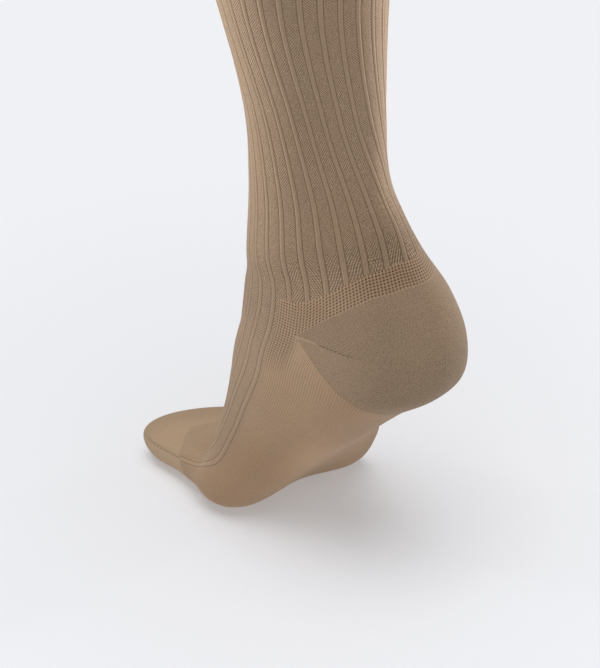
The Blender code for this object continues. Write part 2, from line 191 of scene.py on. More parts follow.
# How finely the cloth is made: rows in metres, and where its columns lie in each repeat, in ribs
LEG_ROW_PITCH = 0.0038
HEEL_ROW_PITCH = 0.0022
FOOT_ROW_PITCH = 0.0032
TOE_ROW_PITCH = 0.0012
HEEL_ROWS_FROM = 6.6
POCKET_ROW_COUNT = 44
BAND_ROW_COUNT = 24
FOLD_STEPS = 6
RIB_SIDE = (.08, .12, .15, .18, .22, .3, .4)
RIB_COLUMNS = (-.5, *(-offset for offset in reversed(RIB_SIDE)), 0, *RIB_SIDE)
RIB_COLUMNS_INSIDE = (-.5, -.2, 0, .2)
PLAIN_COLUMNS = (-.5, -.375, -.25, -.125, 0, .125, .25, .375)
PLAIN_COLUMNS_INSIDE = (-.5, -.25, 0, .25)

ARC_STEPS = 90
SKIN_BATCH = 4000
ROW_SEARCH_STEPS = 400
FRONT_STEPS = 900
NORMAL_STEP = 0.01
EDGE_ANGLE = 50.0
TINY = 1e-6
MILLIMETRES = 1000

OUTSIDE, INSIDE = 0, 1


def turned(forward, up, degrees):
    angle = math.radians(degrees)
    return (
        forward * math.cos(angle) + up * math.sin(angle),
        -forward * math.sin(angle) + up * math.cos(angle),
    )


def from_ball(name, forward, up):
    if name == TOES:
        return forward, up
    if name == FOOT:
        return turned(forward - BALL_FROM_HEEL, up, FOOT_PITCH)
    ankle = turned(ANKLE_FROM_HEEL - BALL_FROM_HEEL, ANKLE_UP, FOOT_PITCH)
    step = turned(forward, up, LEG_LEAN)
    return ankle[0] + step[0], ankle[1] + step[1]


def placed(section):
    """A section's numbers in the order of skin_part, with its points told from the ball."""
    front = from_ball(section.frame, section.front, section.front_up)
    back = from_ball(section.frame, section.back, section.back_up)
    shift = section.shift
    if section.frame == TOES:
        shift -= section.front * math.tan(math.radians(TOES_OUTWARD))
    size = (section.inner, section.outer, section.widest)
    form = (section.front_full, section.back_full, section.slant, section.cant, section.hollow)
    return (*front, *back, *size, *form, shift, *LAYS[section.name])


PLACED = np.array([placed(section) for section in SECTIONS])
OPENING = (PLACED[0, 0:2] + PLACED[0, 2:4]) / 2


def between(table, place):
    """The table's rows at fractional places, on a smooth curve through them."""
    last = len(table) - 1
    place = np.clip(place, 0, last)
    row = np.minimum(place.astype(int), last - 1)
    step = (place - row)[:, None]

    def slope(rows):
        ahead = table[np.minimum(rows + 1, last)]
        behind = table[np.maximum(rows - 1, 0)]
        span = np.minimum(rows + 1, last) - np.maximum(rows - 1, 0)
        return (ahead - behind) / span[:, None]

    start, end = table[row], table[row + 1]
    rise = 3 * step**2 - 2 * step**3
    lead_out = step - 2 * step**2 + step**3
    lead_in = step**3 - step**2
    return start + rise * (end - start) + lead_out * slope(row) + lead_in * slope(row + 1)


def skin_part(station, rib):
    """Points of the outer face for two lists of one length."""
    numbers = between(PLACED, station)
    front, back = numbers[:, 0:2], numbers[:, 2:4]
    columns = numbers[:, 4:, None].transpose(1, 0, 2)
    inner, outer, widest, front_full, back_full, slant, *others = columns
    cant, hollow, shift, turn, twist, share = others
    to_back = (1 - np.cos(2 * math.pi / RIBS * rib[:, None])) / 2
    round_by = np.mod(rib[:, None] + turn + twist * to_back, RIBS)
    on_inner = round_by <= RIBS / 2
    half_width = np.where(on_inner, inner, outer)
    side = np.where(on_inner, 1, -1)

    angle = np.linspace(0, math.pi, ARC_STEPS + 1)[None, :]
    across = np.abs(np.sin(angle))
    along = np.abs(np.cos(angle))
    ahead = angle <= math.pi / 2
    power = 2 / np.where(ahead, front_full, back_full)
    depth = np.where(ahead, widest * (1 - along**power), widest + (1 - widest) * along**power)
    width = across**power

    reach = np.linalg.norm(back - front, axis=1)[:, None]
    length = np.hypot(np.diff(depth, axis=1) * reach, np.diff(width, axis=1) * half_width)
    run = np.concatenate([np.zeros_like(reach), np.cumsum(length, axis=1)], axis=1)
    way = np.where(on_inner, round_by, RIBS - round_by) / (RIBS / 2)
    way = way + 4 * (share - 0.5) * way * (1 - way)
    goal = (way * run[:, -1:])[:, 0]
    depth = np.array([np.interp(*row) for row in zip(goal, run, depth)])[:, None]
    width = np.array([np.interp(*row) for row in zip(goal, run, width)])[:, None]

    sideways = side * half_width * width
    low = np.clip(2 * depth - 1, 0, 1)
    lift = cant * sideways * (1 - depth) + hollow * low * np.cos(math.pi / 2 * width) ** 2
    to_front = (front - back) / reach
    place = front + (back - front) * depth + to_front * lift - OPENING
    return np.stack(
        [(sideways + shift)[:, 0], -(place[:, 0:1] + slant * sideways)[:, 0], place[:, 1]], axis=1
    )


def skin(station, rib):
    """Points of the outer face for grids of stations and ribs of one shape."""
    station, rib = np.broadcast_arrays(np.asarray(station, float), np.asarray(rib, float))
    flat_station, flat_rib = station.ravel(), rib.ravel()
    parts = [
        skin_part(flat_station[at : at + SKIN_BATCH], flat_rib[at : at + SKIN_BATCH])
        for at in range(0, flat_rib.size, SKIN_BATCH)
    ]
    return np.concatenate(parts).reshape(*station.shape, 3)


def ribs_from_front(rib):
    return np.abs(np.mod(np.asarray(rib) + RIBS / 2, RIBS) - RIBS / 2)


def listed_line(rows, name, rib):
    listed = [getattr(row, name) for row in rows]
    return np.interp(ribs_from_front(rib), [row.rib for row in rows], listed)


def heel_line(name, rib):
    return listed_line(HEEL_ROWS, name, rib)


def toe_seam(rib):
    return listed_line(TOE_ROWS, "seam", rib)


def leg_station(row, rib):
    """Courses of the leg, which bend down to the heel pocket's upper edge."""
    share = np.maximum(row - LEG_BEND_FROM, 0) / (HEEL_POINT_ROW - LEG_BEND_FROM)
    to_heel = share * (heel_line("pocket_start", rib) - LEG_BEND_FROM)
    return np.minimum(row, LEG_BEND_FROM) + to_heel


def foot_station(row, rib):
    """Courses of the foot, from the heel pocket's lower edge to the toe seam."""
    rear = np.maximum(FOOT_MIDDLE - row, 0) / (FOOT_MIDDLE - HEEL_POINT_ROW)
    front = np.maximum(row - FOOT_MIDDLE, 0) / (TOE_ROW - FOOT_MIDDLE)
    to_heel = rear * (heel_line("pocket_end", rib) - FOOT_MIDDLE)
    return FOOT_MIDDLE + to_heel + front * (toe_seam(rib) - FOOT_MIDDLE)


def cap_station(row, rib):
    """Courses of the toe pocket, which straighten after the toe seam."""
    share = np.maximum(CAP_BEND_TO - row, 0) / (CAP_BEND_TO - TOE_ROW)
    return np.maximum(row, CAP_BEND_TO) - share * (CAP_BEND_TO - toe_seam(rib))


def pocket_station(share, rib):
    """Courses of the heel pocket, by the share of its depth."""
    start, end = heel_line("pocket_start", rib), heel_line("pocket_end", rib)
    return start * (1 - share) + end * share


def even_rows(first, last, pitch, stations):
    """Rows from first to last whose points beside the heel's corner lie about a pitch apart."""
    fine = np.linspace(first, last, ROW_SEARCH_STEPS)
    rib = np.full(fine.size, HEEL_CORNERS[0])
    run = run_along(skin(stations(fine, rib), rib))
    count = max(2, math.ceil(run[-1] / pitch) + 1)
    return np.interp(np.linspace(0, run[-1], count), run, fine)


def run_along(points):
    """How far each point of a line lies from its start."""
    steps = np.linalg.norm(np.diff(points, axis=0), axis=1)
    return np.concatenate([[0], np.cumsum(steps)])


def runs_of(points):
    """How far each point of a grid lies down its column from the first row."""
    steps = np.linalg.norm(np.diff(points, axis=0), axis=2)
    return np.concatenate([np.zeros((1, steps.shape[1])), np.cumsum(steps, axis=0)])


FRONT_STATIONS = np.linspace(0, TIP_ROW, FRONT_STEPS)
FRONT_RUN = run_along(skin(FRONT_STATIONS, np.zeros(FRONT_STEPS)))


def course_of(station):
    """How far a level course lies from the top opening along the front, in metres."""
    return np.interp(station, FRONT_STATIONS, FRONT_RUN)


def outward(station, rib):
    """Unit normals of the outer face, away from the hollow."""
    down = skin(station + NORMAL_STEP, rib) - skin(station - NORMAL_STEP, rib)
    round_it = skin(station, rib + NORMAL_STEP) - skin(station, rib - NORMAL_STEP)
    normal = np.cross(down, round_it)
    return normal / np.linalg.norm(normal, axis=-1, keepdims=True)


def relief(station, rib):
    """How far the knit stands out: soft ribs with a groove on each side, down to the mesh."""
    nearest = np.round(rib)
    offset = np.abs(rib - nearest)
    from_front = ribs_from_front(nearest)
    ends = np.where(from_front <= INSTEP_RIBS, toe_seam(rib), heel_line("mesh_start", rib))
    fade = np.clip((ends - station) / RIB_END, 0, 1)
    fade_start, fade_end = INSTEP_FADE
    on_top = np.clip((fade_end - station) / (fade_end - fade_start), 0, 1)
    fade = fade * np.where(from_front < INSTEP_RIBS, on_top, 1)
    ridge = np.exp(-((offset / RIDGE_HALF) ** RIDGE_SQUARENESS))
    groove = np.exp(-(((offset - GROOVE_AT) / GROOVE_HALF) ** 2))
    return fade * (RIDGE_HEIGHT * ridge - GROOVE_DEPTH * groove)


def columns_of(offsets):
    return np.array([rib + offset for rib in range(RIBS) for offset in offsets])


def at_heel(ribs, margin):
    """Which ribs lie between the heel pocket's corners, by at least a margin."""
    return (ribs > HEEL_CORNERS[0] + margin) & (ribs < HEEL_CORNERS[1] - margin)


def closed_round(index, ribs):
    """A grid all round the stocking, with its first column again at the end."""
    return np.hstack([index, index[:, :1]]), np.append(ribs, ribs[0] + RIBS)


def places_of(ribs, lengths):
    """Places (rib, length) of a grid, for lengths in metres."""
    return np.stack(np.broadcast_arrays(ribs[None, :], lengths * MILLIMETRES), axis=-1)


def link(name, data):
    thing = bpy.data.objects.new(name, data)
    bpy.context.scene.collection.objects.link(thing)
    return thing


class Shell:
    """The points, faces and places of one piece of cloth, before it becomes a mesh."""

    def __init__(self, name):
        self.name = name
        self.points, self.faces, self.corners, self.sides = [], [], [], []
        self.values = {}
        self.size = 0

    def add_points(self, points, **values):
        """Adds a grid of points, and what the materials read about each of them."""
        index = self.size + np.arange(points[..., 0].size).reshape(points.shape[:-1])
        self.points.append(points.reshape(-1, 3))
        for name in dict.fromkeys([*self.values, *values]):
            kept = self.values.setdefault(name, [np.zeros(self.size)])
            new = np.broadcast_to(values.get(name, 0.0), points.shape[:-1])
            kept.append(np.asarray(new, float).ravel())
        self.size += index.size
        return index

    def add_face(self, corners, places, side):
        """Adds a face, less the corners that fall together, if three are left."""
        kept = [at for at in range(len(corners)) if corners[at] != corners[at - 1]]
        if len(kept) > 2:
            self.faces.append([int(corners[at]) for at in kept])
            self.corners.extend(places[at] for at in kept)
            self.sides.append(side)

    def add_grid(self, index, places, side, turn_over):
        """Faces between rows of points. places is a (rib, length) for each point."""
        places = places.tolist()
        for row in range(index.shape[0] - 1):
            for column in range(index.shape[1] - 1):
                turn = [(row, column), (row + 1, column), (row + 1, column + 1), (row, column + 1)]
                if turn_over:
                    turn.reverse()
                corners = [index[at] for at in turn]
                self.add_face(corners, [places[at[0]][at[1]] for at in turn], side)

    def add_rim(self, outer, outer_rib, inner, inner_rib, length, turn_over):
        """Faces between the outer and the inner edge of a piece, whose ribs both rise."""
        at, beside = 0, 0
        while at < len(outer) - 1 or beside < len(inner) - 1:
            ahead = outer_rib[at + 1] if at < len(outer) - 1 else math.inf
            other = inner_rib[beside + 1] if beside < len(inner) - 1 else math.inf
            corners = [outer[at], inner[beside]]
            places = [(outer_rib[at], length), (inner_rib[beside], length)]
            if ahead <= other:
                at += 1
                corners.append(outer[at])
                places.append((outer_rib[at], length))
            else:
                beside += 1
                corners.append(inner[beside])
                places.append((inner_rib[beside], length))
            if turn_over:
                corners.reverse()
                places.reverse()
            self.add_face(corners, places, OUTSIDE)

    def as_object(self, materials):
        mesh = bpy.data.meshes.new(self.name)
        mesh.from_pydata(np.concatenate(self.points).tolist(), [], self.faces)
        mesh.polygons.foreach_set("material_index", self.sides)
        layer = mesh.uv_layers.new(name="knit")
        layer.data.foreach_set("uv", np.array(self.corners, np.float32).ravel())
        for name, kept in self.values.items():
            attribute = mesh.attributes.new(name, "FLOAT", "POINT")
            attribute.data.foreach_set("value", np.concatenate(kept).astype(np.float32))
        mesh.shade_smooth()
        mesh.set_sharp_from_angle(angle=math.radians(EDGE_ANGLE))
        for material in materials:
            mesh.materials.append(material)
        mesh.update()
        return link(self.name, mesh)


Sheet = namedtuple("Sheet", "ribs leg foot")
SheetPart = namedtuple("SheetPart", "row station run points")


def body_rows():
    upper = even_rows(BAND_ROW, HEEL_ROWS_FROM, LEG_ROW_PITCH, leg_station)
    lower = even_rows(HEEL_ROWS_FROM, HEEL_POINT_ROW, HEEL_ROW_PITCH, leg_station)
    foot = even_rows(HEEL_POINT_ROW, TOE_ROW, FOOT_ROW_PITCH, foot_station)
    return np.concatenate([upper[:-1], lower]), foot


def every_other(rows):
    return np.append(rows[:-1:2], rows[-1])


def sheet_part(rows, ribs, stations, side):
    """A grid of the outer face with its relief, or of the inner face a wall below it."""
    row, rib = np.meshgrid(rows, ribs, indexing="ij")
    station = stations(row, rib)
    base = skin(station, rib)
    height = relief(station, rib) if side == OUTSIDE else np.full(rib.shape, -WALL)
    points = base + outward(station, rib) * height[..., None]
    return SheetPart(row, station, runs_of(base), points)


def body_sheet(shell, leg_rows, foot_rows, offsets, side):
    """The leg and foot as one sheet, open where the heel pocket is set in."""
    ribs = columns_of(offsets)
    leg = sheet_part(leg_rows, ribs, leg_station, side)
    foot = sheet_part(foot_rows, ribs, foot_station, side)
    mesh_starts = heel_line("mesh_start", ribs)
    mesh_run = [
        np.interp(start, leg.station[:, at], leg.run[:, at]) for at, start in enumerate(mesh_starts)
    ]
    below = leg.run - np.array(mesh_run)[None, :]
    leg_index = shell.add_points(
        leg.points,
        below_ribs=below * MILLIMETRES,
        from_heel=(leg.run[-1:] - leg.run) * MILLIMETRES,
        course_row=leg.row,
    )
    foot_index = shell.add_points(
        foot.points,
        below_ribs=(below[-1:] + foot.run) * MILLIMETRES,
        from_heel=foot.run * MILLIMETRES,
        course_row=foot.row,
    )
    beside_heel = ~at_heel(ribs, TINY)
    foot_index[0, beside_heel] = leg_index[-1, beside_heel]
    for part, index in ((leg, leg_index), (foot, foot_index)):
        index, around = closed_round(index, ribs)
        lengths = course_of(part.station)
        lengths = np.hstack([lengths, lengths[:, :1]])
        shell.add_grid(index, places_of(around, lengths), side, turn_over=side == INSIDE)
    return Sheet(ribs, leg_index, foot_index)


def make_body(materials):
    shell = Shell("stocking_body")
    leg_rows, foot_rows = body_rows()
    outer = body_sheet(shell, leg_rows, foot_rows, RIB_COLUMNS, OUTSIDE)
    inner_rows = every_other(leg_rows), every_other(foot_rows)
    inner = body_sheet(shell, *inner_rows, RIB_COLUMNS_INSIDE, INSIDE)

    ends = (("leg", 0, BAND_ROW, False), ("foot", -1, TOE_ROW, True))
    for part, row, station, turn_over in ends:
        edges = []
        for sheet in (outer, inner):
            index, around = closed_round(getattr(sheet, part), sheet.ribs)
            edges.extend([index[row], around])
        shell.add_rim(*edges, float(course_of(station) * MILLIMETRES), turn_over)

    for part, row, turn_over in (("leg", -1, True), ("foot", 0, False)):
        edges = []
        for sheet in (outer, inner):
            kept = at_heel(sheet.ribs, -TINY)
            edges.extend([getattr(sheet, part)[row][kept], sheet.ribs[kept]])
        shell.add_rim(*edges, 0.0, turn_over)
    return shell.as_object(materials)


def pocket_grid(shell, offsets, rows, depth, side):
    ribs = columns_of(offsets)
    ribs = ribs[at_heel(ribs, -TINY)]
    share, rib = np.meshgrid(np.linspace(0, 1, rows), ribs, indexing="ij")
    station = pocket_station(share, rib)
    base = skin(station, rib)
    run = runs_of(base)
    points = base - outward(station, rib) * depth
    along = run_along(skin(pocket_station(GORE_SHARE, ribs), ribs))
    along = np.minimum(along, along[-1] - along)
    whole = np.maximum(run[-1:], TINY)
    index = shell.add_points(
        points,
        from_top=run * MILLIMETRES,
        from_sole=(whole - run) * MILLIMETRES,
        from_gore=(share - GORE_SHARE) * whole * MILLIMETRES,
        along_gore=np.broadcast_to(along[None, :], rib.shape) * MILLIMETRES,
        depth_share=share,
    )
    for column in (0, -1):
        index[:, column] = index[0, column]
    shell.add_grid(index, places_of(ribs, run), side, turn_over=side == INSIDE)
    return ribs, index


def make_heel(materials):
    shell = Shell("heel_pocket_knit")
    outer_ribs, outer = pocket_grid(shell, RIB_COLUMNS, POCKET_ROW_COUNT, 0, OUTSIDE)
    inner_rows = POCKET_ROW_COUNT // 2
    inner_ribs, inner = pocket_grid(shell, RIB_COLUMNS_INSIDE, inner_rows, WALL, INSIDE)
    shell.add_rim(outer[0], outer_ribs, inner[0], inner_ribs, 0.0, turn_over=False)
    shell.add_rim(outer[-1], outer_ribs, inner[-1], inner_ribs, 0.0, turn_over=True)
    return shell.as_object(materials)


def toe_grid(shell, offsets, pitch, depth, side):
    ribs = columns_of(offsets)
    rows = even_rows(TOE_ROW, TIP_ROW, pitch, cap_station)
    row, rib = np.meshgrid(rows, ribs, indexing="ij")
    station = cap_station(row, rib)
    base = skin(station, rib)
    run = runs_of(base)
    points = base - outward(station, rib) * depth
    rib_width = np.linalg.norm(skin(station, rib + 0.5) - skin(station, rib - 0.5), axis=2)
    index = shell.add_points(
        points,
        from_seam=run * MILLIMETRES,
        course_row=station,
        from_gore=(ribs_from_front(rib) - GORE_RIB) * rib_width * MILLIMETRES,
    )
    round_index, around = closed_round(index, ribs)
    lengths = np.hstack([run, run[:, :1]])
    turn_over = side == INSIDE
    shell.add_grid(round_index, places_of(around, lengths), side, turn_over)

    tip = points[-1].mean(axis=0)[None, None, :]
    tip_run = float(run[-1].mean() * MILLIMETRES)
    tip_index = shell.add_points(tip, from_seam=tip_run, course_row=TIP_ROW)[0, 0]
    for at in range(len(ribs)):
        corners = [round_index[-1, at], tip_index, round_index[-1, at + 1]]
        places = [(around[at], tip_run), (around[at], tip_run), (around[at + 1], tip_run)]
        if turn_over:
            corners.reverse()
            places.reverse()
        shell.add_face(corners, places, side)
    return around, round_index


def make_toes(materials):
    shell = Shell("toe_pocket_knit")
    outer_ribs, outer = toe_grid(shell, PLAIN_COLUMNS, TOE_ROW_PITCH, 0, OUTSIDE)
    inner_pitch = 2 * TOE_ROW_PITCH
    inner_ribs, inner = toe_grid(shell, PLAIN_COLUMNS_INSIDE, inner_pitch, WALL, INSIDE)
    shell.add_rim(outer[0], outer_ribs, inner[0], inner_ribs, 0.0, turn_over=False)
    return shell.as_object(materials)


def band_profile():
    """Up the band's outer face, over the fold and down its inner face, back to the start."""
    rise = BAND_WALL - WALL
    half = BAND_WALL / 2
    fold = half * BAND_ROW / float(course_of(BAND_ROW))
    profile = [(station, rise, OUTSIDE) for station in np.linspace(BAND_ROW, fold, BAND_ROW_COUNT)]
    for step in range(1, FOLD_STEPS):
        turn = math.pi * step / FOLD_STEPS
        height = rise - half + half * math.cos(turn)
        profile.append((fold * (1 - math.sin(turn)), height, OUTSIDE))
    for station in np.linspace(fold, BAND_ROW, BAND_ROW_COUNT // 2):
        profile.append((station, -WALL, INSIDE))
    profile.append(profile[0])
    return [np.array(column, float)[:, None] for column in zip(*profile)]


def make_band(materials):
    """The doubled band: folded over at the top, and stitched down near its lower edge."""
    shell = Shell("top_band_knit")
    ribs = columns_of(PLAIN_COLUMNS)
    station, height, inside = band_profile()
    stitch = np.exp(-(((station - BAND_STITCH) / STITCH_HALF) ** 2)) * (height > 0)
    from_edge = np.clip((BAND_ROW - station) / EDGE_ROLL, 0, 1)
    rolled = height * (EDGE_RISE + (1 - EDGE_RISE) * from_edge)
    height = np.where(height > 0, rolled - STITCH_DEPTH * stitch, height)
    station, rib = np.broadcast_arrays(station, ribs[None, :])
    points = skin(station, rib) + outward(station, rib) * height[..., None]
    run = runs_of(points)
    index = shell.add_points(points[:-1])
    index = np.vstack([index, index[:1]])
    index, around = closed_round(index, ribs)
    places = places_of(around, np.hstack([run, run[:, :1]]))
    for row in range(len(inside) - 1):
        side = INSIDE if inside[row, 0] and inside[row + 1, 0] else OUTSIDE
        rows = slice(row, row + 2)
        shell.add_grid(index[rows][::-1], places[rows][::-1], side, turn_over=False)
    return shell.as_object(materials)


# The yarn. A tone from 0 to 1 goes from dark to light, and a blush makes the light rosier.
DARK_YARN = (0.045, 0.027, 0.015)
LIGHT_YARN = (0.660, 0.462, 0.298)
ROSY_YARN = (0.635, 0.400, 0.235)
ROUGHNESS, POCKET_ROUGHNESS, PURL_ROUGHNESS = 0.82, 0.85, 0.90
SHEEN, PURL_SHEEN = 0.10, 0.15
SHEEN_ROUGHNESS = 0.5
SHEEN_TINT = (1.0, 0.93, 0.86, 1)
SPECULAR = 0.25

# The stitches: wales in a rib's repeat, courses and holes in millimetres, and relief in metres
PANEL_WALES, PANEL_COURSE = 7, 1.40
MESH_WALES, MESH_COURSE = 6.2, 1.45
SIDE_WALES, SIDE_COURSE = 8, 1.30
EDGE_COURSE = 1.20
HEEL_WALES, HEEL_COURSE = 9, 1.10
TOE_WALES, TOE_COURSE = 9, 0.9
BAND_WALES, BAND_COURSE = 13, 1.1
PURL_COURSE = 0.9
HEEL_HOLE_PITCH, TOE_HOLE_PITCH = 2.2, 2.6
PANEL_RELIEF, KNIT_RELIEF = 0.00012, 0.0001
BUMP_STRENGTH = 0.6
LINE_CORE = 0.4
TWILL_SLANT, TWILL_DOTS = 0.6, 0.4
PANEL_TURN, PANEL_LEAN = 2.4, 0.12

# Where a wave is low enough for a hole, and high enough for a thread or a stitch
HOLE, THREAD = (0.3, -0.7), (0.0, 0.9)
EDGE_STITCH, SEAM_STITCH = (-0.2, 0.6), (-0.3, 0.6)
HEEL_GAP, TOE_GAP = (-0.4, 0.6), (-0.2, 0.7)


class Graph:
    """Builds a knit's material out of maths on its places.

    The limits of a ramp or line are in the unit of what it reads: ribs for the rib, front and
    offset, course rows for the row, and millimetres for all other lengths.
    """

    def __init__(self, name, roughness, sheen):
        self.material = bpy.data.materials.new(name)
        self.material.use_nodes = True
        self.nodes = self.material.node_tree.nodes
        self.links = self.material.node_tree.links
        self.shader = self.nodes["Principled BSDF"]
        self.shader.inputs["Roughness"].default_value = roughness
        self.shader.inputs["Specular IOR Level"].default_value = SPECULAR
        self.shader.inputs["Sheen Weight"].default_value = sheen
        self.shader.inputs["Sheen Roughness"].default_value = SHEEN_ROUGHNESS
        self.shader.inputs["Sheen Tint"].default_value = SHEEN_TINT
        place = self.nodes.new("ShaderNodeUVMap")
        place.uv_map = "knit"
        split = self.nodes.new("ShaderNodeSeparateXYZ")
        self.links.new(place.outputs["UV"], split.inputs[0])
        self.rib, self.length = split.outputs[0], split.outputs[1]

    def value(self, name):
        node = self.nodes.new("ShaderNodeAttribute")
        node.attribute_name = name
        return node.outputs["Fac"]

    def math(self, operation, *inputs):
        node = self.nodes.new("ShaderNodeMath")
        node.operation = operation
        for socket, source in zip(node.inputs, inputs):
            if isinstance(source, (int, float)):
                socket.default_value = source
            else:
                self.links.new(source, socket)
        return node.outputs[0]

    def add(self, total, *others):
        for other in others:
            total = self.math("ADD", total, other)
        return total

    def minus(self, a, b):
        return self.math("SUBTRACT", a, b)

    def times(self, total, *others):
        for other in others:
            total = self.math("MULTIPLY", total, other)
        return total

    def layered(self, base, *layers):
        """A base and layers added to it, each a share and the masks that it is multiplied by."""
        return self.add(base, *(self.times(*masks, share) for share, *masks in layers))

    def wave(self, cycles):
        """1 at whole numbers and -1 at halves."""
        return self.math("COSINE", self.times(cycles, 2 * math.pi))

    def wales(self, count):
        """Waves across the ribs, so many to a rib's repeat."""
        return self.wave(self.times(self.rib, count))

    def courses(self, length, pitch):
        """Waves down the cloth, each as long as the pitch."""
        return self.wave(self.times(length, 1 / pitch))

    def ramp(self, source, start, end):
        """0 up to start, and 1 from end on, with a smooth way between. It may also fall."""
        node = self.nodes.new("ShaderNodeMapRange")
        node.interpolation_type = "SMOOTHSTEP"
        node.clamp = True
        node.inputs["From Min"].default_value = min(start, end)
        node.inputs["From Max"].default_value = max(start, end)
        node.inputs["To Min"].default_value = 0 if start < end else 1
        node.inputs["To Max"].default_value = 1 if start < end else 0
        self.links.new(source, node.inputs["Value"])
        return node.outputs["Result"]

    def line(self, distance, at, half):
        """1 on a line at some distance, falling to 0 half a line away on either side."""
        aside = self.math("ABSOLUTE", self.minus(distance, at))
        return self.ramp(aside, half, LINE_CORE * half)

    def noise(self, scale, detail=2.0):
        """Soft noise about 0, with so many waves to a metre."""
        place = self.nodes.new("ShaderNodeTexCoord")
        node = self.nodes.new("ShaderNodeTexNoise")
        node.inputs["Scale"].default_value = scale
        node.inputs["Detail"].default_value = detail
        self.links.new(place.outputs["Object"], node.inputs["Vector"])
        return self.minus(node.outputs["Fac"], 0.5)

    def from_front(self):
        """How many ribs a place lies from the middle of the front, on either side."""
        wrapped = self.math("FLOORED_MODULO", self.add(self.rib, RIBS / 2), RIBS)
        return self.math("ABSOLUTE", self.minus(wrapped, RIBS / 2))

    def rib_offset(self):
        """How far a place lies from the nearest rib, in ribs."""
        return self.math("ABSOLUTE", self.minus(self.rib, self.math("ROUND", self.rib)))

    def twill(self):
        """Dots of a diagonal repeat, which slants one way on some panels and back on others."""
        across = self.times(self.rib, PANEL_WALES)
        along = self.times(self.length, 1 / PANEL_COURSE)
        panel = self.math("SINE", self.times(self.math("FLOOR", self.rib), PANEL_TURN))
        patches = self.noise(45, 1)
        lean = self.ramp(self.layered(patches, (PANEL_LEAN, panel)), -0.10, 0.10)
        rising = self.wave(self.add(across, along))
        falling = self.wave(self.minus(across, along))
        slant = self.add(self.times(rising, lean), self.times(falling, self.minus(1.0, lean)))
        return self.layered(0.0, (TWILL_SLANT, slant), (TWILL_DOTS, rising, falling))

    def mix(self, share, first, second):
        """A colour between two, which are each a colour or what another mix gives."""
        node = self.nodes.new("ShaderNodeMix")
        node.data_type = "RGBA"
        self.links.new(share, node.inputs["Factor"])
        for name, source in (("A", first), ("B", second)):
            if isinstance(source, tuple):
                node.inputs[name].default_value = (*source, 1)
            else:
                self.links.new(source, node.inputs[name])
        return node.outputs["Result"]

    def colour(self, tone, blush=None):
        light = LIGHT_YARN if blush is None else self.mix(blush, LIGHT_YARN, ROSY_YARN)
        self.links.new(self.mix(tone, DARK_YARN, light), self.shader.inputs["Base Color"])

    def bump(self, height, distance):
        node = self.nodes.new("ShaderNodeBump")
        node.inputs["Distance"].default_value = distance
        node.inputs["Strength"].default_value = BUMP_STRENGTH
        self.links.new(height, node.inputs["Height"])
        self.links.new(node.outputs["Normal"], self.shader.inputs["Normal"])


